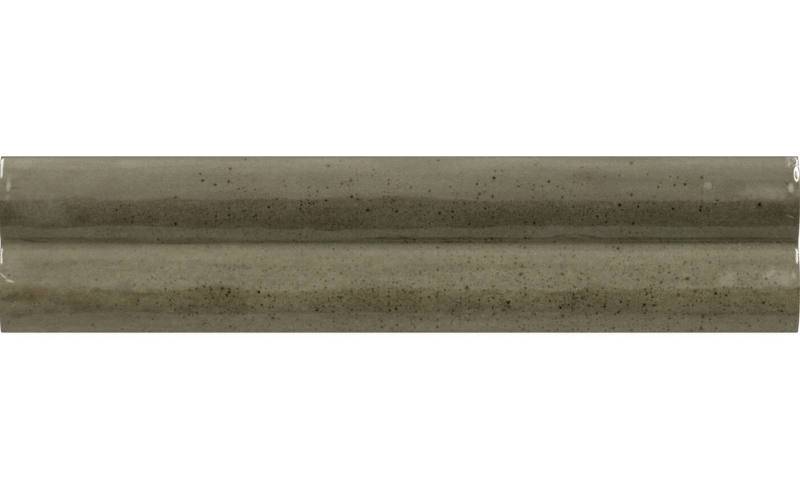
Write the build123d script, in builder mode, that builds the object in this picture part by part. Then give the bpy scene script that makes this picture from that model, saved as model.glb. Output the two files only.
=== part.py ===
from build123d import *
import os

# Fluted porcelain tile, pressed and fired as one piece.
# Its glazed face has rounded ribs along the whole length with a narrow valley between them, and its edges are
# rounded where the glaze rolls over them. Its back has a grid of shallow recesses that keys it to the adhesive.
# Millimetres. X runs along the ribs, Y across them, and Z up out of the ribbed face.
# The origin is the middle of the back, on the flat lands that the tile lies on.

# Plan of the tile
LENGTH = 300.0
WIDTH = 66.5

# Ribbed face
RIB_COUNT = 2
EDGE_THICKNESS = 6.0  # of the body at the long edges
RIB_RISE = 6.9  # of a rib's crown above the long edges
VALLEY_RADIUS = 2.8  # of the glaze that pools between two ribs

# Edges of the pressed body
LONG_EDGE_RADIUS = 1.3
END_RADIUS = 0.9  # round the top of each end, over ribs and valley, and down the four corners
BACK_BEVEL = 0.5

# Key on the back
KEY_COLUMNS = 14
KEY_ROWS = 3
KEY_RIM = 4.0  # flat border all round
KEY_LAND = 3.0  # flat strip between two recesses
KEY_DEPTH = 0.7
KEY_CORNER = 2.0
KEY_DRAFT = 30.0  # degrees that a recess's walls lean outwards

half_width = WIDTH / 2
rib_pitch = WIDTH / RIB_COUNT
recess_length = (LENGTH - 2 * KEY_RIM - (KEY_COLUMNS - 1) * KEY_LAND) / KEY_COLUMNS
recess_width = (WIDTH - 2 * KEY_RIM - (KEY_ROWS - 1) * KEY_LAND) / KEY_ROWS

os.makedirs("parts", exist_ok=True)

with BuildPart() as tile:
    # The section across the ribs: one arc for each rib, between two points at the height of the long edges.
    with BuildSketch(Plane.YZ) as section:
        with BuildLine():
            foot = [(-half_width + rib * rib_pitch, EDGE_THICKNESS) for rib in range(RIB_COUNT + 1)]
            Polyline(foot[0], (-half_width, 0), (half_width, 0), foot[-1])
            for start, end in zip(foot, foot[1:]):
                SagittaArc(start, end, RIB_RISE)
        make_face()
        valleys = section.vertices().group_by(Axis.Y)[-1].sort_by(Axis.X)[1:-1]
        fillet(valleys, VALLEY_RADIUS)
        sides = section.vertices().group_by(Axis.X)
        fillet([side.sort_by(Axis.Y)[-1] for side in (sides[0], sides[-1])], LONG_EDGE_RADIUS)
    extrude(amount=LENGTH / 2, both=True)

    # The rounding of both ends, which climbs the corners, rolls over the ribs and dips through the valley.
    outline = tile.faces().filter_by(Axis.X).edges()
    fillet(outline.filter_by_position(Axis.Z, 0, EDGE_THICKNESS + RIB_RISE, inclusive=(False, True)), END_RADIUS)

    # The bevel round the back.
    chamfer(tile.faces().sort_by(Axis.Z)[0].edges(), BACK_BEVEL)

    # The key: recesses with drafted walls, so that the flat lands between them form a grid.
    with BuildSketch(Plane.XY):
        with GridLocations(recess_length + KEY_LAND, recess_width + KEY_LAND, KEY_COLUMNS, KEY_ROWS):
            RectangleRounded(recess_length, recess_width, KEY_CORNER)
    extrude(amount=KEY_DEPTH, taper=KEY_DRAFT, mode=Mode.SUBTRACT)

tile.part.label = "tile"
export_step(tile.part, "parts/tile.step")
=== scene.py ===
import math
import bmesh
import bpy
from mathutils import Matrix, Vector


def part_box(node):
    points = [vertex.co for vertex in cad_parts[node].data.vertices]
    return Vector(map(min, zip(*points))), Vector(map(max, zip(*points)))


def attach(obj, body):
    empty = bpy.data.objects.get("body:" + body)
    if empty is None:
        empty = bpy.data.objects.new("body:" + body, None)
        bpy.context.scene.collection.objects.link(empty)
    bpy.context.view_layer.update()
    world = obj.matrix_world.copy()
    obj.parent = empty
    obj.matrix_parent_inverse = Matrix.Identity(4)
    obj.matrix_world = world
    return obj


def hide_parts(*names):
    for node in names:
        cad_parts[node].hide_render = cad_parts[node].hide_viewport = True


bl_info = {
    "name": "Fluted Porcelain Tile",
    "version": (1, 0, 0),
    "blender": (4, 5, 0),
    "location": "3D View > Sidebar > Tile",
    "description": "Builds a long glazed porcelain tile with rounded ribs and a keyed back, and its studio",
    "category": "Object",
}

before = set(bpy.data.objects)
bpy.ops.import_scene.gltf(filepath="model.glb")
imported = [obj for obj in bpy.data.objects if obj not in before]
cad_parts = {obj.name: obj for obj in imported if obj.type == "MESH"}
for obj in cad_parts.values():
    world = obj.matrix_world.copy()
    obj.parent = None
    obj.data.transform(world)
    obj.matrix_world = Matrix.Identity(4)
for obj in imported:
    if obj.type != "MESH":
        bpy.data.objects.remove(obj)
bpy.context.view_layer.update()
tile_low, tile_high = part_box("tile")

MM = 0.001


# Sizes and colours that a user may change

class TileSizes(bpy.types.PropertyGroup):
    """Sizes of the pressed and fired body."""

    length: bpy.props.FloatProperty(
        name="Length", description="Along the ribs", unit="LENGTH", precision=4,
        default=tile_high.x - tile_low.x)
    width: bpy.props.FloatProperty(
        name="Width", description="Across the ribs", unit="LENGTH", precision=4,
        default=tile_high.y - tile_low.y)
    height: bpy.props.FloatProperty(
        name="Height", description="From the back to the crown of a rib", unit="LENGTH", precision=4,
        default=tile_high.z - tile_low.z)
    rib_rise: bpy.props.FloatProperty(
        name="Rib rise", description="Of a rib's crown above the long edges", unit="LENGTH", precision=4,
        default=6.9 * MM)
    valley_far_radius: bpy.props.FloatProperty(
        name="Valley radius, far side", description="Of the glaze in the groove, on the far rib's side",
        unit="LENGTH", precision=4, default=2.1 * MM)
    valley_near_radius: bpy.props.FloatProperty(
        name="Valley radius, near side", description="Of the glaze in the groove, on the near rib's side",
        unit="LENGTH", precision=4, default=5.6 * MM)
    edge_radius: bpy.props.FloatProperty(
        name="Long edge radius", description="Where the glaze rolls over a long edge",
        unit="LENGTH", precision=4, default=1.3 * MM)
    end_radius: bpy.props.FloatProperty(
        name="End radius", description="Round the top of each end and down the corners",
        unit="LENGTH", precision=4, default=0.5 * MM)
    back_bevel: bpy.props.FloatProperty(
        name="Back bevel", description="Round the back", unit="LENGTH", precision=4,
        default=0.5 * MM)
    swell_height: bpy.props.FloatProperty(
        name="Swell", description="How deep the slow unevenness of the fired face is",
        unit="LENGTH", precision=5, default=0.5 * MM)
    ripple_height: bpy.props.FloatProperty(
        name="Ripple", description="How deep the shorter unevenness of the glaze is",
        unit="LENGTH", precision=5, default=0.1 * MM)


class KeySizes(bpy.types.PropertyGroup):
    """Sizes of the grid of recesses on the back."""

    columns: bpy.props.IntProperty(name="Columns", description="Recesses along the tile", default=14, min=1)
    rows: bpy.props.IntProperty(name="Rows", description="Recesses across the tile", default=3, min=1)
    rim: bpy.props.FloatProperty(
        name="Rim", description="Flat border all round", unit="LENGTH", precision=4, default=4.0 * MM)
    land: bpy.props.FloatProperty(
        name="Land", description="Flat strip between two recesses", unit="LENGTH", precision=4,
        default=3.0 * MM)
    depth: bpy.props.FloatProperty(
        name="Depth", description="Of a recess", unit="LENGTH", precision=4, default=0.7 * MM)
    corner: bpy.props.FloatProperty(
        name="Corner radius", description="Of a recess in plan", unit="LENGTH", precision=4, default=2.0 * MM)
    draft: bpy.props.FloatProperty(
        name="Draft", description="Lean of a recess's walls", unit="ROTATION", default=math.radians(30.0))


class GlazeLook(bpy.types.PropertyGroup):
    """Colours of the glaze and of the bare porcelain under it, and of the highlights and shade painted on the
    glaze.
    """

    olive: bpy.props.FloatVectorProperty(
        name="Olive glaze", description="Glaze of the rib nearer the viewer", subtype="COLOR", size=3,
        min=0.0, max=1.0, default=(0.157, 0.137, 0.078))
    taupe: bpy.props.FloatVectorProperty(
        name="Taupe glaze", description="Glaze of the farther rib", subtype="COLOR", size=3,
        min=0.0, max=1.0, default=(0.112, 0.100, 0.062))
    # Also the colour of the dark washes, among them painted shade along a dark reflected line above the
    # valley
    speck: bpy.props.FloatVectorProperty(
        name="Dark speck", description="Iron specks of the nearer rib", subtype="COLOR", size=3,
        min=0.0, max=1.0, default=(0.020, 0.012, 0.003))
    far_speck: bpy.props.FloatVectorProperty(
        name="Black speck", description="Iron specks of the farther rib", subtype="COLOR", size=3,
        min=0.0, max=1.0, default=(0.009, 0.006, 0.003))
    bloom: bpy.props.FloatVectorProperty(
        name="Brown bloom", description="Where iron browned the glaze", subtype="COLOR", size=3,
        min=0.0, max=1.0, default=(0.070, 0.050, 0.022))
    # Also the colour of painted highlights and reflections near the ends, laid on like pale washes
    pale: bpy.props.FloatVectorProperty(
        name="Pale wash", description="Where the glaze ran thin", subtype="COLOR", size=3,
        min=0.0, max=1.0, default=(0.46, 0.44, 0.37))
    fleck: bpy.props.FloatVectorProperty(
        name="Fleck", description="Fine brown flecks", subtype="COLOR", size=3,
        min=0.0, max=1.0, default=(0.046, 0.033, 0.008))
    stain: bpy.props.FloatVectorProperty(
        name="Stain", description="Glaze that iron stained round a speck", subtype="COLOR", size=3,
        min=0.0, max=1.0, default=(0.080, 0.058, 0.008))
    rust: bpy.props.FloatVectorProperty(
        name="Rusty speck", description="Specks that fired brown", subtype="COLOR", size=3,
        min=0.0, max=1.0, default=(0.085, 0.052, 0.018))
    # The white of painted highlights: the glints, the speckled corner and the loop of light in the rolled end
    painted_glint: bpy.props.FloatVectorProperty(
        name="Pinhole", description="Pinholes that sparkle", subtype="COLOR", size=3,
        min=0.0, max=1.0, default=(0.80, 0.80, 0.74))
    biscuit: bpy.props.FloatVectorProperty(
        name="Bare porcelain", description="Body where no glaze lies", subtype="COLOR", size=3,
        min=0.0, max=1.0, default=(0.44, 0.40, 0.33))
    gloss_roughness: bpy.props.FloatProperty(
        name="Glaze roughness", description="Of the smooth glaze", subtype="FACTOR", min=0.0, max=1.0,
        default=0.09)


class StudioLook(bpy.types.PropertyGroup):
    """Light and camera of the studio."""

    north_light: bpy.props.FloatProperty(
        name="Sky light", description="Brightness of the soft light overhead and beyond the tile",
        default=1.33)
    horizon_gain: bpy.props.FloatProperty(
        name="Low sky light", description="What the soft light gains towards the horizon", default=1.6)
    dim_light: bpy.props.FloatProperty(
        name="Dim side", description="Brightness of the dim side of the room", default=0.04)
    card_light: bpy.props.FloatProperty(
        name="Card light", description="Power of the grey card on the near side", unit="POWER", default=1.85)
    glint_light: bpy.props.FloatProperty(
        name="Glint light", description="Power of the two lamps that glint in the rolled ends", unit="POWER",
        default=10.0)
    camera_height: bpy.props.FloatProperty(
        name="Camera height", description="Above the floor", unit="LENGTH", default=1.2893)
    lens: bpy.props.FloatProperty(
        name="Lens", description="Focal length", subtype="DISTANCE_CAMERA", default=153.6)


# Modelling

# Steps of each rounding
EDGE_STEPS = 7
RIB_STEPS = 60
VALLEY_STEPS = 8
END_STEPS = 5
CORNER_STEPS = 5

# Columns of faces along the tile, with narrow ones near both ends
COLUMNS = 290
END_COLUMNS = 9
END_COLUMN = 0.45 * MM
END_SUPPORT = 0.2 * MM  # beyond the end rounding, before the first column

SIDE_SUPPORT = 0.4 * MM  # between a side's edge and the loop that keeps the side flat
CAP_SUPPORT = 0.25 * MM  # the same on the flat ends

RECESS_MARGIN = 0.2 * MM  # flat strip that a recess brings with it
RECESS_SOFTNESS = 0.14 * MM  # of the edges of a recess

# The glaze at the ends
DROOP = 0.35 * MM
DROOP_REACH = 2.0 * MM

SHARP_FROM = math.radians(28)  # between two faces that meet in a sharp edge

# Where the glaze is free to move: above the sides, and fully so only this far from the rounded edges
FREE_ABOVE = 4.0 * MM
FREE_FROM_LONG_EDGE = 0.35 * MM
FREE_REACH = 2.2 * MM

# Where the fired face sank a little: middle along and across, half length, reach and depth, in millimetres
HOLLOWS = (
    (0.0, -12.5, 150.0, 8.0, 0.09),
    (-8.0, 12.5, 18.0, 9.0, 0.24),
    (37.0, 21.5, 6.0, 9.0, 0.22),
    (103.0, 21.5, 26.0, 9.0, 0.14),
    (2.0, 10.5, 30.0, 7.0, 0.22),
    (-146.0, -22.0, 4.0, 8.0, 0.22),
    (-120.0, -30.0, 7.0, 7.0, 0.16),
    (130.0, -22.0, 18.0, 8.0, 0.20),
    (-86.0, -13.0, 6.0, 6.0, 0.14),
    (62.0, -13.0, 5.0, 6.0, 0.14),
)


def deselect_everything():
    for thing in bpy.context.selected_objects:
        thing.select_set(False)


def activate(thing):
    deselect_everything()
    thing.select_set(True)
    bpy.context.view_layer.objects.active = thing


def edit():
    bpy.ops.object.mode_set(mode="EDIT")


def leave_edit():
    bpy.ops.object.mode_set(mode="OBJECT")


def choose(kind, test):
    """In edit mode, selects only the vertices, edges or faces that pass a test."""
    bpy.ops.mesh.select_mode(type=kind)
    bpy.ops.mesh.select_all(action="DESELECT")
    mesh = bpy.context.object.data
    shape = bmesh.from_edit_mesh(mesh)
    for part in {"VERT": shape.verts, "EDGE": shape.edges, "FACE": shape.faces}[kind]:
        if test(part):
            part.select_set(True)
    shape.select_flush_mode()
    bmesh.update_edit_mesh(mesh)


def near(one, other, reach=0.02 * MM):
    return abs(one - other) < reach


def draw_up(height):
    """Extrudes what is selected straight up, or down for a negative height."""
    bpy.ops.mesh.extrude_region_move(TRANSFORM_OT_translate={"value": (0.0, 0.0, height)})


def sweep(y, z, angle, steps):
    """Draws an arc in the cross section from the selected point, round a centre. A positive angle turns from
    -Y up to +Z."""
    bpy.ops.mesh.spin(steps=steps, angle=angle, center=(0.0, y, z), axis=(1.0, 0.0, 0.0))


def settle_valley(rib_middle, rib_radius, near_radius, far_radius):
    """Where the groove's two arcs meet flat, off the middle and below the crowns, so that each of them meets
    its rib smoothly."""
    drop = rib_radius / 4
    for _ in range(20):  # each round brings the two closer to their places
        off_middle = (near_radius - far_radius) * drop / (2 * rib_middle)
        reach = rib_middle + off_middle
        rise = math.sqrt(rib_radius ** 2 + 2 * near_radius * drop - reach ** 2)
        drop = rib_radius - rise
    return off_middle, drop


def draw_section(sizes):
    """The open outline of the cross section, from the foot of one side over both ribs to the foot of the
    other."""
    half_width = sizes.width / 2
    rib_middle = sizes.width / 4
    rib_radius = (rib_middle ** 2 + sizes.rib_rise ** 2) / (2 * sizes.rib_rise)
    rib_z = sizes.height - rib_radius
    edge_reach = rib_middle - sizes.edge_radius
    edge_z = rib_z + math.sqrt((rib_radius - sizes.edge_radius) ** 2 - edge_reach ** 2)
    edge_lean = math.asin(edge_reach / (rib_radius - sizes.edge_radius))
    near_radius, far_radius = sizes.valley_near_radius, sizes.valley_far_radius
    valley_y, valley_drop = settle_valley(rib_middle, rib_radius, near_radius, far_radius)
    valley_z = rib_z + rib_radius - valley_drop
    near_lean = math.asin((rib_middle + valley_y) / (rib_radius + near_radius))
    far_lean = math.asin((rib_middle - valley_y) / (rib_radius + far_radius))
    edge_y = half_width - sizes.edge_radius
    foot_z = sizes.back_bevel
    flat_side = edge_z - foot_z - 2 * SIDE_SUPPORT

    bpy.ops.mesh.primitive_plane_add(size=MM, location=(-sizes.length / 2, -half_width, foot_z))
    bpy.ops.object.transform_apply(location=True)
    edit()
    bpy.ops.mesh.select_all(action="SELECT")
    bpy.ops.mesh.merge(type="CENTER")
    draw_up(SIDE_SUPPORT)
    draw_up(flat_side)
    draw_up(SIDE_SUPPORT)
    sweep(-edge_y, edge_z, math.pi / 2 - edge_lean, EDGE_STEPS)
    sweep(-rib_middle, rib_z, edge_lean + near_lean, RIB_STEPS)
    sweep(valley_y, valley_z + near_radius, -near_lean, VALLEY_STEPS)
    sweep(valley_y, valley_z + far_radius, -far_lean, VALLEY_STEPS)
    sweep(rib_middle, rib_z, far_lean + edge_lean, RIB_STEPS)
    sweep(edge_y, edge_z, math.pi / 2 - edge_lean, EDGE_STEPS)
    draw_up(-SIDE_SUPPORT)
    draw_up(-flat_side)
    draw_up(-SIDE_SUPPORT)


def close_ends(sizes):
    """Flat ends, rounded over the ribs and valley and down the corners."""
    half_length = sizes.length / 2
    foot_z = sizes.back_bevel
    for end in (-half_length, half_length):
        choose("VERT", lambda v: near(v.co.x, end) and near(v.co.z, foot_z))
        bpy.ops.mesh.edge_face_add()
        choose("VERT", lambda v: near(v.co.x, end))
        bpy.ops.mesh.edge_face_add()
    choose("EDGE", lambda e: all(near(abs(v.co.x), half_length) for v in e.verts)
           and near(e.verts[0].co.x, e.verts[1].co.x)
           and any(v.co.z > foot_z + 0.1 * MM for v in e.verts))
    bpy.ops.mesh.bevel(offset_type="OFFSET", offset=sizes.end_radius, segments=END_STEPS, profile=0.5,
                       affect="EDGES", clamp_overlap=False)
    choose("FACE", lambda f: abs(f.normal.x) > 0.999 and len(f.verts) > 4)
    bpy.ops.mesh.inset(thickness=CAP_SUPPORT, depth=0.0)


def bevel_foot(sizes):
    """The bevel round the back, from the foot of the sides down to the flat lands."""
    foot_z = sizes.back_bevel
    choose("EDGE", lambda e: len(e.link_faces) == 1 and all(near(v.co.z, foot_z) for v in e.verts))
    draw_up(-foot_z)
    shrink = (1 - 2 * foot_z / sizes.length, 1 - 2 * foot_z / sizes.width, 1.0)
    bpy.ops.transform.resize(value=shrink, center_override=(0.0, 0.0, 0.0))


def add_recesses(sizes, key):
    """The recesses of the key: one is modelled in the first corner of the grid, with a thin flat margin round
    it, and repeated along and across the back."""
    long_side = (sizes.length - 2 * key.rim - (key.columns - 1) * key.land) / key.columns
    short_side = (sizes.width - 2 * key.rim - (key.rows - 1) * key.land) / key.rows
    place = (-sizes.length / 2 + key.rim + long_side / 2, -sizes.width / 2 + key.rim + short_side / 2, 0.0)
    bpy.ops.mesh.primitive_plane_add(size=1.0, location=place)
    bpy.ops.transform.resize(value=(long_side + 2 * RECESS_MARGIN, short_side + 2 * RECESS_MARGIN, 1.0))
    bpy.ops.object.transform_apply(location=True, scale=True)
    recess = bpy.context.object
    edit()
    bpy.ops.mesh.select_all(action="SELECT")
    bpy.ops.mesh.flip_normals()
    choose("VERT", lambda v: True)
    bpy.ops.mesh.bevel(offset_type="OFFSET", offset=key.corner + RECESS_MARGIN, segments=CORNER_STEPS,
                       profile=0.5, affect="VERTICES", clamp_overlap=False)
    choose("FACE", lambda f: True)
    bpy.ops.mesh.inset(thickness=RECESS_MARGIN, depth=0.0)
    bpy.ops.mesh.inset(thickness=key.depth * math.tan(key.draft), depth=-key.depth)
    choose("EDGE", lambda e: len(e.link_faces) == 2 and (
        all(near(v.co.z, key.depth) for v in e.verts)
        or all(near(v.co.z, 0.0) for v in e.verts)
        and not any(len(link.link_faces) == 1 for v in e.verts for link in v.link_edges)))
    bpy.ops.mesh.bevel(offset_type="OFFSET", offset=RECESS_SOFTNESS, segments=2, profile=0.5,
                       affect="EDGES", clamp_overlap=False)
    leave_edit()
    step_x = long_side + key.land
    step_y = short_side + key.land
    for count, step in ((key.columns, (step_x, 0.0, 0.0)), (key.rows, (0.0, step_y, 0.0))):
        array = recess.modifiers.new("grid", "ARRAY")
        array.count = count
        array.use_relative_offset = False
        array.use_constant_offset = True
        array.constant_offset_displace = step
        bpy.ops.object.modifier_apply(modifier=array.name)
    return recess


def sink(depth, reach, falloff):
    """Lowers what is selected, and what lies round it less and less."""
    bpy.ops.transform.translate(value=(0.0, 0.0, -depth), use_proportional_edit=True,
                                proportional_edit_falloff=falloff, proportional_size=reach)


def droop_ends(sizes):
    """The glaze thins and droops towards each end, so that the ends catch the light."""
    start = sizes.length / 2 - sizes.end_radius - 0.05 * MM
    low = sizes.height - sizes.rib_rise - 0.5 * MM
    for end in (-1, 1):
        choose("VERT", lambda v: end * v.co.x > start and v.co.z > low)
        sink(DROOP, DROOP_REACH, "SHARP")


def sink_hollows(sizes):
    """Shallow hollows of the fired face, which bend the light on it."""
    low = sizes.height - sizes.rib_rise + 0.5 * MM
    half_row = 0.34 * MM
    for along, over, half_long, reach, depth in HOLLOWS:
        choose("VERT", lambda v: near(v.co.x, along * MM, half_long * MM)
               and near(v.co.y, over * MM, half_row) and v.co.z > low)
        sink(depth * MM, reach * MM, "SMOOTH")


def fill_lands():
    """The flat lands between the recesses, from the bevel's edge to every recess's margin."""
    choose("EDGE", lambda e: len(e.link_faces) == 1 and all(near(v.co.z, 0.0) for v in e.verts))
    bpy.ops.mesh.fill(use_beauty=True)
    bpy.ops.mesh.select_all(action="SELECT")
    bpy.ops.mesh.remove_doubles(threshold=0.001 * MM)
    bpy.ops.mesh.normals_make_consistent(inside=False)


def weigh_face(tile, sizes):
    """How freely the glaze moves: fully on the ribs, and less and less near the rounded edges."""
    free = tile.vertex_groups.new(name="free_glaze")
    half_length, half_width = sizes.length / 2, sizes.width / 2
    for vertex in tile.data.vertices:
        x, y, z = vertex.co
        inside = min(half_length - abs(x) - sizes.end_radius, half_width - abs(y) - FREE_FROM_LONG_EDGE)
        if z < FREE_ABOVE or inside <= 0:
            continue
        share = min(1.0, inside / FREE_REACH)
        free.add([vertex.index], share * share * (3 - 2 * share), "REPLACE")


def scale_along(factor):
    """Scales the selected piece along the ribs, from the middle."""
    bpy.ops.transform.resize(value=(factor, 1.0, 1.0), center_override=(0.0, 0.0, 0.0))
    bpy.ops.object.transform_apply(scale=True)


def swell(tile, name, size, height, stretch):
    """Sinks the free glaze by a slow cloud pattern that is drawn out along the ribs."""
    pattern = bpy.data.textures.new(name, "CLOUDS")
    pattern.noise_scale = size
    pattern.noise_depth = 0
    activate(tile)
    scale_along(1 / stretch)
    shift = tile.modifiers.new(name, "DISPLACE")
    shift.texture = pattern
    shift.texture_coords = "LOCAL"
    shift.direction = "Z"
    shift.mid_level = 0.88  # high, so that the face sinks nearly everywhere and doesn't outgrow its height
    shift.strength = height
    shift.vertex_group = "free_glaze"
    bpy.ops.object.modifier_apply(modifier=shift.name)
    scale_along(stretch)


# Shader maths

class Wire:
    """One output in a node tree. Arithmetic on values adds Math nodes."""

    def __init__(self, bench, socket):
        self.bench = bench
        self.socket = socket

    def math(self, operation, *values):
        return self.bench.make("ShaderNodeMath", {"operation": operation}, dict(enumerate(values)))

    def __add__(self, other):
        return self.math("ADD", self, other)

    def __radd__(self, other):
        return self.math("ADD", other, self)

    def __sub__(self, other):
        return self.math("SUBTRACT", self, other)

    def __rsub__(self, other):
        return self.math("SUBTRACT", other, self)

    def __mul__(self, other):
        return self.math("MULTIPLY", self, other)

    def __rmul__(self, other):
        return self.math("MULTIPLY", other, self)

    def __truediv__(self, other):
        return self.math("DIVIDE", self, other)

    def __pow__(self, other):
        return self.math("POWER", self, other)

    def largest(self, other):
        return self.math("MAXIMUM", self, other)

    def out(self, name):
        """Another output of the same node."""
        return Wire(self.bench, self.socket.node.outputs[name])


class Bench:
    """Makes nodes in one tree."""

    def __init__(self, tree):
        self.tree = tree
        tree.nodes.clear()

    def make(self, kind, settings=None, sockets=None, output=0):
        """A node of a type, with its settings set first and then the values or links of its sockets."""
        node = self.tree.nodes.new(kind)
        node.location = (180 * (len(self.tree.nodes) % 12), -220 * (len(self.tree.nodes) // 12))
        for name, value in (settings or {}).items():
            setattr(node, name, value)
        for name, value in (sockets or {}).items():
            if isinstance(value, Wire):
                self.tree.links.new(value.socket, node.inputs[name])
            else:
                node.inputs[name].default_value = value
        return Wire(self, node.outputs[output]) if node.outputs else None

    def noise(self, where, size, detail, roughness=0.5):
        """Noise from 0 to 1, whose lumps are about as large as size."""
        return self.make("ShaderNodeTexNoise", {"noise_dimensions": "3D"},
                         {"Vector": where, "Scale": 1 / size, "Detail": detail, "Roughness": roughness})

    def cells(self, where, size):
        """Distance to the middle of the nearest cell, in cells. Its Color output is random for each cell."""
        return self.make("ShaderNodeTexVoronoi", {"feature": "F1", "voronoi_dimensions": "2D"},
                         {"Vector": where, "Scale": 1 / size, "Randomness": 1.0})

    def ease(self, value, start, end, low=0.0, high=1.0):
        """Goes smoothly from low to high while value goes from start to end."""
        return self.make("ShaderNodeMapRange", {"interpolation_type": "SMOOTHSTEP"},
                         {"Value": value, "From Min": start, "From Max": end, "To Min": low, "To Max": high})

    def blend(self, share, under, over, how="MIX"):
        """One colour over another."""
        settings = {"data_type": "RGBA", "blend_type": how}
        colours = {0: share, 6: opaque(under), 7: opaque(over)}
        return self.make("ShaderNodeMix", settings, colours, output=2)


def opaque(colour):
    return colour if isinstance(colour, Wire) else (*colour, 1.0)


class Face:
    """A point's place on the tile, and the unevenness that several layers of the glaze share. Numbers that
    say where something lies are in millimetres from the middle."""

    def __init__(self, bench, sizes):
        self.bench = bench
        self.sizes = sizes
        self.place = bench.make("ShaderNodeTexCoord", output="Object")
        axes = bench.make("ShaderNodeSeparateXYZ", sockets={0: self.place})
        self.x, self.y, self.z = axes.out("X"), axes.out("Y"), axes.out("Z")
        self.far_rib = self.over(0.0, 1.0)
        self.far_top = self.over(15, 19)
        self.drawn = self.drawn_out(0.45)
        self.mottle = bench.noise(self.place, 2.0 * MM, detail=3.0, roughness=0.65)
        self.grain = bench.noise(self.place, 0.42 * MM, detail=2.0, roughness=0.8)
        self.waver = bench.noise(self.place, 3.0 * MM, detail=3.0) - 0.5
        jitter = bench.noise(self.place, 0.5 * MM, detail=2.0, roughness=0.7).out("Color")
        self.ragged = bench.make("ShaderNodeVectorMath", {"operation": "MULTIPLY_ADD"},
                                 {0: jitter, 1: (1.0 * MM,) * 3, 2: self.place})

    def drawn_out(self, share):
        """Places for a pattern that is drawn out along the ribs."""
        return self.bench.make("ShaderNodeMapping", sockets={
            "Vector": self.place, "Scale": (share, 1.0, 1.0)})

    def along(self, start, end, low=0.0, high=1.0):
        """Goes smoothly from low to high between two places along the ribs."""
        return self.bench.ease(self.x, start * MM, end * MM, low, high)

    def over(self, start, end, low=0.0, high=1.0):
        """Goes smoothly from low to high between two places across the ribs."""
        return self.bench.ease(self.y, start * MM, end * MM, low, high)

    def bands(self, stops):
        """A number that changes across the ribs and runs through stops, each a place and the number there. A
        ramp holds only 0 to 1, so numbers from -1 to 3 are packed into that."""
        width = self.sizes.width
        ramp = self.bench.make("ShaderNodeValToRGB", sockets={"Fac": self.y / width + 0.5}, output="Color")
        elements = ramp.socket.node.color_ramp.elements
        elements.remove(elements[1])
        for spot, number in stops:
            element = elements.new(spot * MM / width + 0.5)
            element.color = ((number + 1) / 4,) * 3 + (1.0,)
        elements.remove(elements[0])
        return 4 * self.bench.make("ShaderNodeSeparateColor", sockets={0: ramp}) - 1.0

    def patch(self, along, over, half_long, half_wide, turn=0.0):
        """How far out a place lies in an oval patch, whose turn is in degrees: 0 in its middle, 1 at its
        edge, and 2 from twice as far on. A gradient tells it in few steps, because with vector maths for each
        of so many patches the shader would be too big to render, and the tile would turn black."""
        off = self.bench.make("ShaderNodeMapping", {"vector_type": "TEXTURE"}, {
            "Vector": self.place, "Location": (along * MM, over * MM, 0.0),
            "Rotation": (0.0, 0.0, math.radians(turn)),
            "Scale": (2 * half_long * MM, 2 * half_wide * MM, 1.0)})
        inside = self.bench.make("ShaderNodeTexGradient", {"gradient_type": "SPHERICAL"}, {"Vector": off},
                                 output="Fac")
        return inside.math("MULTIPLY_ADD", inside, -2.0, 2.0)


# The glaze

# Specks: the spacing and the radius in millimetres, how rare they are, how dark, and how much denser they lie
# on the near flank and on the top of the farther rib
SPECKS = (
    (5.2, 0.56, 0.90, 0.95, 0.12, 0.36),
    (3.0, 0.38, 0.76, 0.80, -0.06, -0.02),
    (1.7, 0.26, 0.60, 0.60, -0.12, -0.26),
)

# Flocks of specks: middle along and across and half sizes in millimetres, then how much denser
FLOCKS = (
    (37.6, -6.2, 24.0, 5.0, 0.26),
    (36.0, -20.0, 5.0, 6.0, 0.10),
    (-69.0, -20.8, 20.0, 6.0, 0.10),
    (67.5, -20.8, 17.0, 6.0, 0.04),
    (93.5, -9.7, 20.0, 6.0, 0.12),
    (-10.0, 25.0, 26.0, 7.0, 0.14),
    (-35.5, 15.2, 5.0, 4.0, 0.24),
    (-58.0, 12.0, 9.0, 6.0, 0.16),
    (-105.0, 12.5, 38.0, 5.5, 0.20),
    (34.0, 0.8, 46.0, 1.6, 0.20),
    (112.0, 1.4, 34.0, 1.8, 0.22),
    (20.0, -9.5, 32.0, 4.5, 0.12),
)

# What changes across the tile: places in millimetres from the middle, from the near long edge to the far one
SPECK_CROWD = ((-33.2, -0.10), (-29.6, -0.02), (-25.0, 0.06), (-20.7, 0.08), (-14.0, 0.02), (-10.6, -0.08),
               (-5.3, -0.18), (0.0, -0.08), (5.0, -0.04), (12.0, 0.03), (17.0, 0.00), (20.5, -0.03),
               (27.3, -0.15), (30.0, -0.28), (33.2, -0.34))
MOTTLE_DEPTH = ((-33.2, 0.55), (-25.0, 0.80), (-15.0, 0.80), (-8.0, 0.75), (-3.0, 0.75), (3.0, 0.55),
                (7.0, 0.85), (15.0, 0.95), (20.0, 0.50), (28.0, 0.50), (33.2, 0.50))
RUSTINESS = ((-33.2, 0.0), (-27.5, 0.3), (-24.0, 0.8), (-16.0, 0.9), (-12.0, 1.2), (-6.0, 1.1), (-1.0, 0.9),
             (6.5, 0.9), (8.5, 0.3), (17.0, 0.2), (33.2, 0.2))
GREENNESS = ((-33.2, 1.0), (-14.0, 1.0), (-11.5, 1.02), (-8.0, 1.02), (-5.0, 1.0), (2.0, 1.0), (4.0, 1.015),
             (6.0, 1.01), (7.5, 0.975), (15.0, 0.975), (17.0, 1.0), (20.0, 1.01), (33.2, 1.01))
BLUENESS = ((-33.2, 1.14), (-27.0, 1.13), (-24.0, 1.06), (-15.0, 1.04), (-12.0, 1.04), (-8.0, 1.01),
            (-5.0, 0.90), (-1.0, 0.86), (0.5, 0.92), (2.5, 0.94), (6.0, 0.97), (10.0, 0.99), (33.2, 1.0))
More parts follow.
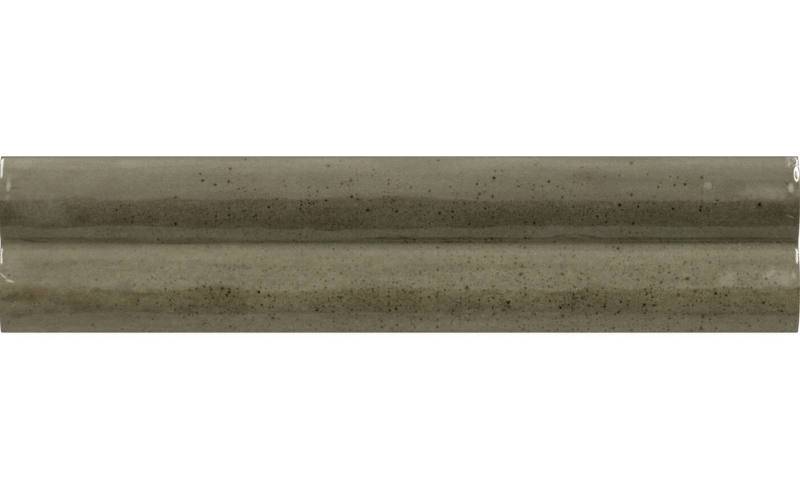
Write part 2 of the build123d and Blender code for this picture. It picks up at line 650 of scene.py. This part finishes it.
# Glaze tone with painted light and shade across the ribs: lighter and darker bands where the light falls,
# painted shade in the valley and along both long edges
GLAZE_TONE_AND_PAINTED_LIGHT = ((-33.2, 0.90), (-32.5, 1.08), (-31.9, 1.24), (-30.0, 1.16), (-27.0, 0.99), (-23.9, 1.06),
               (-20.9, 1.13), (-17.9, 1.17), (-12.0, 1.06), (-7.3, 0.91), (-3.3, 0.88), (-0.6, 0.97),
               (0.2, 0.80), (1.0, 1.10), (2.4, 1.14), (4.7, 1.02), (9.2, 0.92), (12.2, 0.96), (15.3, 1.07),
               (18.3, 1.08), (20.6, 1.18), (25.3, 1.11), (28.6, 1.09), (31.6, 1.20), (32.5, 0.9), (33.2, 0.5))
BLOOM_SHARE = ((-33.2, 0.10), (-28.5, 0.16), (-25.5, 0.34), (-18.0, 0.44), (-14.0, 0.20), (-10.0, 0.14),
               (-7.3, 0.34), (-5.5, 0.22), (-3.0, 0.10), (0.5, 0.24), (2.0, 0.12), (6.0, 0.12), (8.5, 0.22),
               (15.0, 0.22), (18.0, 0.16), (28.0, 0.18), (33.2, 0.08))

# Pale, dark and rusty washes of the glaze, with painted highlights and reflections among the pale ones and
# painted
# shade among the dark ones: middle along and across, half sizes and turn, in millimetres and degrees, then
# strength
PAINTED_HIGHLIGHTS_AND_PALE_WASHES = (
    # Painted highlights and a painted reflection at the left end
    (-146.4, 22.2, 1.0, 2.5, 0, 0.46),
    (-146.6, 17.6, 1.2, 1.6, 0, 0.14),
    (-133.0, 12.4, 13.0, 8.0, 0, 0.10),
    (-142.0, 30.4, 5.5, 1.8, 0, 0.09),
    (-101.0, 30.4, 8.0, 2.0, 0, 0.06),
    # Painted highlights and reflections on the swells near the right end
    (115.0, 22.2, 2.0, 1.7, 0, 0.28),
    (146.5, 21.0, 1.3, 2.8, 0, 0.55),
    (137.5, 19.4, 13.0, 3.2, 0, 0.21),
    (137.6, -12.0, 2.6, 3.4, -25, 0.20),
    (143.6, -13.0, 5.0, 3.8, 0, 0.17),
    (141.0, -13.4, 10.0, 5.0, 0, 0.06),
    (139.4, -10.6, 1.8, 1.4, 20, 0.30),
    (147.4, -11.2, 1.0, 2.0, 0, 0.34),
    (146.4, 10.4, 2.2, 0.5, -20, 0.22),
    (-146.0, -6.0, 7.0, 9.0, 0, 0.07),
    (-143.0, 1.0, 9.0, 1.8, 0, 0.09),
    (122.8, -13.4, 4.4, 4.0, 0, 0.16),
    # Painted highlight: the curved glint streak in the rolled left end
    (-148.1, -11.9, 2.2, 0.55, -42, 0.95),
    (-145.7, -13.7, 2.3, 0.6, -16, 0.90),
    (-110.0, -20.5, 18.0, 4.5, 0, 0.03),
    (-130.0, 20.5, 26.0, 4.0, 0, 0.025),
    (-130.0, 1.2, 26.0, 1.6, 0, 0.02),
    (-146.0, -9.0, 8.0, 3.5, 0, 0.03),
)
DARK_WASHES_AND_PAINTED_SHADE = (
    (-143.8, 21.0, 2.4, 0.9, 0, 0.36),
    (-119.5, 10.0, 5.5, 3.2, 30, 0.26),
    (-147.0, 12.0, 3.4, 5.0, 0, 0.22),
    (-138.3, 1.4, 5.5, 0.5, -6, 0.60),
    (-68.4, -8.0, 0.8, 0.7, 0, 0.50),
    (-56.8, -9.0, 1.4, 0.5, 10, 0.50),
    (-142.0, -27.0, 6.0, 1.0, 5, 0.30),
    (-118.0, -23.3, 9.0, 3.0, 0, 0.30),
    (-144.0, -19.0, 6.0, 2.5, 0, 0.24),
    (-130.0, -21.0, 6.0, 3.0, 20, 0.16),
    (138.0, 12.0, 6.0, 3.4, 0, 0.20),
    (142.6, 12.8, 2.8, 2.4, 0, 0.30),
    (110.0, 23.5, 5.0, 2.4, -20, 0.12),
    (78.0, 26.0, 9.0, 2.0, -25, 0.12),
    # Painted shade: the wavering dark line on the far rib's foot, where it reflects the near rib instead of
    # the grey card
    (-6.0, 2.85, 3.6, 0.55, 10, 0.55),
    (0.8, 2.85, 4.0, 0.55, -9, 0.55),
    (59.3, 3.0, 5.8, 0.62, 8, 0.80),
    (71.0, 3.0, 6.8, 0.62, -7, 0.80),
    (101.0, 12.0, 31.0, 5.6, 0, 0.15),
    (-9.0, 27.0, 26.0, 4.5, 0, 0.05),
    (70.5, 25.6, 7.5, 2.2, -8, 0.16),
    (76.0, 20.0, 9.0, 4.2, 0, 0.12),
    (124.5, 20.5, 6.5, 4.0, 0, 0.14),
    (-34.0, 26.0, 6.0, 2.6, 0, 0.08),
)
RUSTY_WASHES = (
    (-132.4, -7.3, 1.1, 0.8, 0, 0.60),
    (-128.0, -7.6, 14.0, 1.2, 0, 0.20),
    (-69.5, -7.6, 3.5, 1.0, 10, 0.40),
    (-59.5, -8.2, 3.8, 1.0, 0, 0.45),
    (-87.9, -5.4, 0.8, 0.8, 0, 0.50),
    (-101.0, -17.8, 4.5, 1.6, 0, 0.40),
    (-136.0, -17.8, 9.0, 3.4, 0, 0.40),
    (-118.0, -21.0, 9.0, 4.0, 0, 0.16),
    (10.0, -7.0, 10.0, 1.6, 0, 0.16),
    (66.0, -18.0, 18.0, 4.0, 0, 0.10),
    (-66.0, -19.0, 22.0, 5.0, 0, 0.30),
    (-6.0, -19.0, 24.0, 5.0, 0, 0.20),
    (131.0, 3.8, 24.0, 4.4, 0, 0.28),
    (-138.0, 4.5, 14.0, 3.8, 0, 0.18),
    (72.0, 25.4, 8.5, 1.7, -10, 0.30),
    (-2.9, 2.3, 6.0, 0.8, 0, 0.35),
    (64.5, 2.5, 9.5, 1.1, 0, 0.55),
)

# A painted highlight, a loop of light in the rolled end: middle along and across and half sizes, in
# millimetres
PAINTED_GLINT_RING = (148.7, 26.2, 0.85, 2.4)

# Where painted glints sparkle on the glaze: middle along and across and half sizes in millimetres, then
# strength
PAINTED_GLINTS = (
    (130.0, -0.2, 18.0, 1.7, 0.50),
    (140.0, 1.0, 8.0, 2.2, 0.40),
    (147.4, 31.0, 3.0, 2.2, 0.55),
    (-93.4, -25.1, 13.0, 1.5, 0.28),
    (-19.0, 31.9, 22.0, 0.7, 0.16),
    (47.0, 31.9, 24.0, 0.7, 0.20),
    (148.9, -4.0, 0.9, 3.0, 0.9),
)


def clouded_glaze(face, look):
    """Olive on the near rib and taupe on the far one, with slow cloudiness, streaks along the ribs, finer
    mottle, dust and the grain of the fired surface, and with light and shade painted in bands across the
    ribs. Where it is darker it is also yellower, and it has rusty spots."""
    bench = face.bench
    cloud = bench.noise(face.drawn, 15 * MM, detail=3.0)
    streak = bench.noise(face.drawn_out(0.06), 2.6 * MM, detail=3.0)
    dust = bench.noise(face.place, 0.9 * MM, detail=4.0, roughness=0.8)
    patchy = bench.noise(face.drawn, 6 * MM, detail=3.0)

    seam = face.y + 0.5 * MM * (streak - 0.5)
    tone = bench.blend(bench.ease(seam, -0.35 * MM, 0.25 * MM), look.olive, look.taupe)

    mottle_depth = face.bands(MOTTLE_DEPTH) * face.along(-125, -75, 0.5, 1.0)
    dusty = face.over(1.0, 4.0, 0.4, 1.0) * face.over(17.5, 15.5)
    fine = 1.0 + 0.5 * (cloud - 0.5) + 0.5 * (streak - 0.5) + mottle_depth * (face.mottle - 0.5)
    fine = fine + 1.8 * (face.grain - 0.5)
    fine = (fine + 2.0 * dusty * (dust - 0.5)).largest(0.1)
    light = fine * (1.0 - face.far_rib * face.along(-150, 150, -0.10, 0.05))
    light = light * (1.0 + face.far_rib * face.along(-40, 60, 0.15, 0.3) * (patchy - 0.5))
    # Painted light and shade across the ribs, laid over the glaze's own tone
    light = light * face.bands(GLAZE_TONE_AND_PAINTED_LIGHT)

    hues = bench.make("ShaderNodeSeparateColor", sockets={0: face.mottle.out("Color")})
    rustiness = face.bands(RUSTINESS)
    rusty = (hues.out("Green") - 0.5) * rustiness
    shade = bench.make("ShaderNodeCombineColor", sockets={
        0: light,
        1: light * fine ** 0.06 * face.bands(GREENNESS) * (1.0 - 0.36 * rusty),
        2: light * fine ** 0.35 * face.bands(BLUENESS) * (1.0 - 0.95 * rusty)})
    tone = bench.blend(1.0, tone, shade, how="MULTIPLY")
    rust_spot = bench.ease(hues.out("Blue"), 0.57, 0.70) * rustiness * 0.22
    return bench.blend(rust_spot, tone, look.rust)


def add_bloom(face, look, tone):
    """Brown iron bloom, mostly low on the nearer rib."""
    bench = face.bench
    bloom = bench.ease(bench.noise(face.drawn, 3.6 * MM, detail=5.0, roughness=0.75), 0.44, 0.66)
    zone = face.bands(BLOOM_SHARE) * face.along(-120, 0.0, 1.3, 0.9)
    return bench.blend(bloom * zone, tone, look.bloom)


def add_washes(face, look, tone):
    """Washes where the glaze ran pale, dark or rusty, with painted highlights, reflections and shade laid on
    as washes too.
    """
    bench = face.bench
    for washes, colour in ((PAINTED_HIGHLIGHTS_AND_PALE_WASHES, look.pale), (DARK_WASHES_AND_PAINTED_SHADE, look.speck), (RUSTY_WASHES, look.rust)):
        for *oval, strength in washes:
            # Some pale washes are painted highlights and reflections, and some dark ones painted shade
            wash = bench.ease(face.patch(*oval) + 1.6 * face.waver, 1.15, 0.2)
            tone = bench.blend(wash * strength, tone, colour)
    return tone


def lay_out_specks(face):
    """Places for the specks, which are laid out in plan with ragged outlines and run on down the sides."""
    bench, sizes = face.bench, face.sizes
    half_length = sizes.length / 2
    plan = bench.make("ShaderNodeSeparateXYZ", sockets={0: face.ragged})
    at_end = bench.ease(face.x.math("ABSOLUTE", face.x), half_length - 0.9 * MM, half_length - 0.2 * MM)
    down_end = at_end * (sizes.height - face.z)
    down_side = (sizes.height - sizes.rib_rise - face.z).largest(0.0)
    return bench.make("ShaderNodeCombineXYZ", sockets={
        0: plan.out("X") + face.x.math("SIGN", face.x) * down_end,
        1: plan.out("Y") + face.y.math("SIGN", face.y) * down_side})


def crowd_specks(face):
    """How much denser the specks lie than elsewhere."""
    bench = face.bench
    flock = bench.noise(face.place, 10 * MM, detail=2.0)
    crowded = flock - 0.5 + face.along(-138, -48, -0.42, 0.0)
    crowded = crowded + face.along(112, 135, 0.0, -0.10) * (1.0 + face.far_rib) + face.bands(SPECK_CROWD)
    for *oval, denser in FLOCKS:
        crowded = crowded + bench.ease(face.patch(*oval) + 1.2 * face.waver, 1.2, 0.3) * denser
    return crowded + face.along(-60, 70, -0.03, 0.08) * face.over(0.0, -4)


def add_specks(face, look, tone):
    """Fine flecks, then iron specks of three sizes with stained halos, then a few specks that fired brown.
    Also gives how much iron lies at the surface."""
    bench = face.bench
    flat = lay_out_specks(face)
    crowded = crowd_specks(face)

    flecks = bench.noise(face.ragged, 0.5 * MM, detail=2.0, roughness=0.6)
    flecked = 0.05 * face.far_top + face.along(-60, -120, 0.0, 0.05)
    fleck = bench.ease(flecks + 0.30 * crowded + 0.25 * (face.mottle - 0.5) + flecked, 0.60, 0.74)
    tone = bench.blend(fleck * 0.55, tone, look.fleck)
    iron = fleck * 0.6

    speck = bench.blend(face.far_rib, look.speck, look.far_speck)
    crowded = crowded + face.far_top * (face.along(-96, -66, -0.30, 0.0) + face.along(104, 122, 0.0, -0.34))
    for spacing, radius, rare, depth, flank_gain, top_gain in SPECKS:
        cell = bench.cells(flat, spacing * MM)
        chance = bench.make("ShaderNodeSeparateColor", sockets={0: cell.out("Color")})
        gain = face.over(5, 9) * flank_gain + face.far_top * (top_gain - flank_gain)
        born = bench.ease(chance.out("Red") + crowded + gain, rare, rare + 0.04)
        girth = radius / spacing * (0.6 + 0.7 * chance.out("Green"))
        halo = bench.ease(cell / girth, 2.1, 0.8) * born * 0.5
        tone = bench.blend(halo, tone, look.stain)
        dot = bench.ease(cell / girth, 1.1, 0.5) * born * (depth * (0.6 + 0.4 * chance.out("Blue")))
        tone = bench.blend(dot, tone, speck)
        iron = dot.largest(iron)

    rust_cell = bench.cells(flat, 8 * MM)
    rust_chance = bench.make("ShaderNodeSeparateColor", sockets={0: rust_cell.out("Color")})
    rust_dot = bench.ease(rust_cell, 0.11, 0.03) * bench.ease(rust_chance.out("Red"), 0.62, 0.66)
    tone = bench.blend(rust_dot * face.over(0.0, -3, 0.2, 0.75), tone, look.rust)
    return tone, iron


def add_painted_glints(face, look, tone):
    """Painted glints that sparkle here and there, a speckled painted highlight in one corner, and the painted
    loop of light in the rolled end.
    """
    bench = face.bench
    glint_zones = 0.0
    for *oval, strength in PAINTED_GLINTS:
        glint_zones = (bench.ease(face.patch(*oval), 1.1, 0.7) * strength).largest(glint_zones)
    # Painted highlight: near-white glint dots within the zones above
    painted_glint = bench.ease(bench.noise(face.ragged, 0.55 * MM, detail=3.0, roughness=0.7), 0.61, 0.67) * glint_zones
    tone = bench.blend(painted_glint, tone, look.painted_glint)

    # Painted highlight: a speckled glint in the far right corner
    painted_corner_glint = bench.ease(face.grain + 0.6 * face.waver, 0.48, 0.66) * face.along(144.5, 147.5)
    tone = bench.blend(painted_corner_glint * face.over(27.5, 30.5) * 0.45, tone, look.painted_glint)

    # Painted highlight: a ring of glint in the rolled right end
    reach = face.patch(*PAINTED_GLINT_RING)
    loop = bench.ease(reach, 0.62, 0.78) * bench.ease(reach, 1.25, 1.08)
    return bench.blend(loop * 0.9, tone, look.painted_glint)


def glaze_material(look, sizes):
    """Speckled olive glaze, glossy and slightly uneven, that ends in bare porcelain low on the sides."""
    material = bpy.data.materials.new("speckled olive glaze")
    material.use_nodes = True
    bench = Bench(material.node_tree)
    face = Face(bench, sizes)
    tone = clouded_glaze(face, look)
    tone = add_bloom(face, look, tone)
    tone = add_washes(face, look, tone)
    tone, iron = add_specks(face, look, tone)
    tone = add_painted_glints(face, look, tone)

    # The glaze ends in a wavering line.
    line = bench.noise(face.drawn, 6 * MM, detail=2.0)
    glazed = bench.ease(face.z + 1.6 * MM * (line - 0.5), 2.1 * MM, 2.5 * MM)
    clay = bench.noise(face.place, 1.1 * MM, detail=4.0, roughness=0.65)
    body = bench.blend(bench.ease(clay, 0.35, 0.7), tuple(0.86 * part for part in look.biscuit), look.biscuit)

    # It is pebbled like orange peel, and pitted along two bands. The bare porcelain is grainy.
    peel = bench.noise(face.place, 1.9 * MM, detail=1.0)
    pits = bench.noise(face.place, 2.4 * MM, detail=3.0, roughness=0.6)
    pitted = face.over(-11, -15) * face.over(-23, -19)
    pitted = pitted + 1.2 * face.over(14, 16.5) * face.over(21.5, 19)
    relief = (peel * 0.5 + pits * pitted * 7.0) * glazed + clay * 1.2 * (1 - glazed)

    shader = bench.make("ShaderNodeBsdfPrincipled", sockets={
        "Base Color": bench.blend(glazed, body, tone),
        "Roughness": bench.ease(glazed, 0.0, 1.0, 0.75, look.gloss_roughness),
        "Metallic": iron * glazed,
        "Normal": bench.make("ShaderNodeBump", sockets={
            "Strength": 0.35, "Distance": 0.02 * MM, "Height": relief}),
        "IOR": 1.42})
    bench.make("ShaderNodeOutputMaterial", sockets={"Surface": shader})
    return material


# Operators

class TILE_OT_glazed_tile(bpy.types.Operator):
    """Model the glazed tile, from its ribbed face to the key of its back"""

    bl_idname = "tile.glazed_tile"
    bl_label = "Glazed Tile"

    def execute(self, context):
        sizes, key, look = context.scene.tile_sizes, context.scene.tile_key, context.scene.tile_glaze
        deselect_everything()
        draw_section(sizes)
        bpy.ops.mesh.select_all(action="SELECT")
        first = sizes.end_radius + END_SUPPORT
        stretch = (sizes.length - 2 * first - 2 * END_COLUMNS * END_COLUMN) / COLUMNS
        for columns, step in ((1, first), (END_COLUMNS, END_COLUMN), (COLUMNS, stretch),
                              (END_COLUMNS, END_COLUMN), (1, first)):
            bpy.ops.mesh.extrude_repeat(steps=columns, offset=(step, 0.0, 0.0))
        close_ends(sizes)
        bevel_foot(sizes)
        droop_ends(sizes)
        sink_hollows(sizes)
        leave_edit()
        tile = context.object
        tile.name = tile.data.name = "glazed_tile"
        deselect_everything()
        recesses = add_recesses(sizes, key)
        recesses.select_set(True)
        tile.select_set(True)
        context.view_layer.objects.active = tile
        bpy.ops.object.join()
        edit()
        fill_lands()
        leave_edit()
        weigh_face(tile, sizes)
        swell(tile, "slow swell", size=11 * MM, height=sizes.swell_height, stretch=2.6)
        swell(tile, "glaze ripple", size=4.5 * MM, height=sizes.ripple_height, stretch=2.0)
        activate(tile)
        bpy.ops.object.shade_smooth_by_angle(angle=SHARP_FROM)
        tile.data.materials.clear()
        tile.data.materials.append(glaze_material(look, sizes))
        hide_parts("tile")
        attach(tile, "root")
        return {"FINISHED"}


def floor_material():
    """Plain white: the camera and reflections see it bright, and it still takes a soft shadow."""
    material = bpy.data.materials.new("white floor")
    material.use_nodes = True
    bench = Bench(material.node_tree)
    path = bench.make("ShaderNodeLightPath")
    seen = path.out("Is Camera Ray").largest(path.out("Is Glossy Ray"))
    seen = seen.largest(path.out("Is Transmission Ray"))
    matt = bench.make("ShaderNodeBsdfDiffuse", sockets={"Color": (0.8, 0.8, 0.8, 1.0)})
    faint = bench.make("ShaderNodeBsdfDiffuse", sockets={"Color": (0.12, 0.12, 0.12, 1.0)})
    glow = bench.make("ShaderNodeEmission", sockets={"Color": (1.0, 1.0, 1.0, 1.0), "Strength": 0.94})
    white = bench.make("ShaderNodeAddShader", sockets={0: faint, 1: glow})
    shown = bench.make("ShaderNodeMixShader", sockets={0: seen, 1: matt, 2: white})
    bench.make("ShaderNodeOutputMaterial", sockets={"Surface": shown})
    return material


def light_room(scene, look):
    """Soft light overhead and on the far side, brighter towards the horizon, and a dim near side."""
    world = bpy.data.worlds.new("studio")
    world.use_nodes = True
    scene.world = world
    bench = Bench(world.node_tree)
    toward = bench.make("ShaderNodeTexCoord", output="Generated")
    axes = bench.make("ShaderNodeSeparateXYZ", sockets={0: toward})
    y, z = axes.out("Y"), axes.out("Z")
    lean = y / (y * y + z * z + 0.000001) ** 0.5
    far_side = bench.ease(lean, -0.015, 0.09)
    low = lean.largest(0.0) ** 4.0
    strength = look.dim_light + far_side * (look.north_light - look.dim_light + look.horizon_gain * low)
    sky = bench.make("ShaderNodeBackground", sockets={"Color": (1.0, 0.99, 0.92, 1.0), "Strength": strength})
    bench.make("ShaderNodeOutputWorld", sockets={"Surface": sky})


def hang_lamp(name, place, turn, width, height, power):
    """A flat lamp that the camera doesn't see."""
    bpy.ops.object.light_add(type="AREA", location=place, rotation=turn)
    lamp = bpy.context.object
    lamp.name = name
    lamp.data.shape = "RECTANGLE"
    lamp.data.size = width
    lamp.data.size_y = height
    lamp.data.energy = power
    lamp.visible_camera = False
    return lamp


class TILE_OT_studio(bpy.types.Operator):
    """Lay the floor, light the room and set up the camera straight above the tile"""

    bl_idname = "tile.studio"
    bl_label = "Studio"

    def execute(self, context):
        look = context.scene.tile_studio
        deselect_everything()
        bpy.ops.mesh.primitive_plane_add(size=40.0, location=(0.0, 0.0, 0.0))
        floor = context.object
        floor.name = "floor"
        floor.data.materials.append(floor_material())
        light_room(context.scene, look)

        card = hang_lamp("grey card", place=(0.0, -0.28, 0.118), turn=(math.pi / 2, 0.0, 0.0),
                         width=2.4, height=0.25, power=look.card_light)
        card.data.color = (0.99, 1.0, 0.82)

        # Each glint lamp stands a metre from the middle of its end of the tile, beyond it and raised.
        half_length = context.scene.tile_sizes.length / 2
        turn, climb = math.radians(25), math.radians(22)
        for side, name in ((-1, "left glint"), (1, "right glint")):
            place = (side * (half_length + math.sin(turn) * math.cos(climb)),
                     math.cos(turn) * math.cos(climb), math.sin(climb))
            glint = hang_lamp(name, place, turn=(climb - math.pi / 2, 0.0, -side * turn),
                              width=0.30, height=0.70, power=look.glint_light)
            glint.visible_diffuse = False

        off_middle = (0.0002, -0.00132)
        bpy.ops.object.camera_add(location=(*off_middle, look.camera_height), rotation=(0.0, 0.0, 0.0))
        camera = context.object
        camera.name = "camera"
        camera.data.sensor_width = 36.0
        camera.data.lens = look.lens
        context.scene.camera = camera
        context.scene.view_settings.view_transform = "Standard"
        return {"FINISHED"}


class TILE_PT_panel(bpy.types.Panel):
    """Sizes, colours and buttons of the tile"""

    bl_idname = "TILE_PT_panel"
    bl_label = "Fluted Porcelain Tile"
    bl_space_type = "VIEW_3D"
    bl_region_type = "UI"
    bl_category = "Tile"

    def draw(self, context):
        column = self.layout.column()
        for group in GROUPS:
            settings = getattr(context.scene, group)
            for name in settings.__annotations__:
                column.prop(settings, name)
        for operator in OPERATORS:
            column.operator(operator.bl_idname)


GROUPS = {
    "tile_sizes": TileSizes,
    "tile_key": KeySizes,
    "tile_glaze": GlazeLook,
    "tile_studio": StudioLook,
}
OPERATORS = (TILE_OT_glazed_tile, TILE_OT_studio)


def register():
    for name, group in GROUPS.items():
        bpy.utils.register_class(group)
        setattr(bpy.types.Scene, name, bpy.props.PointerProperty(type=group))
    for operator in OPERATORS:
        bpy.utils.register_class(operator)
    bpy.utils.register_class(TILE_PT_panel)


def unregister():
    bpy.utils.unregister_class(TILE_PT_panel)
    for operator in OPERATORS:
        bpy.utils.unregister_class(operator)
    for name, group in GROUPS.items():
        delattr(bpy.types.Scene, name)
        bpy.utils.unregister_class(group)


def main():
    register()
    bpy.ops.tile.glazed_tile()
    bpy.ops.tile.studio()


if __name__ == "__main__":
    main()
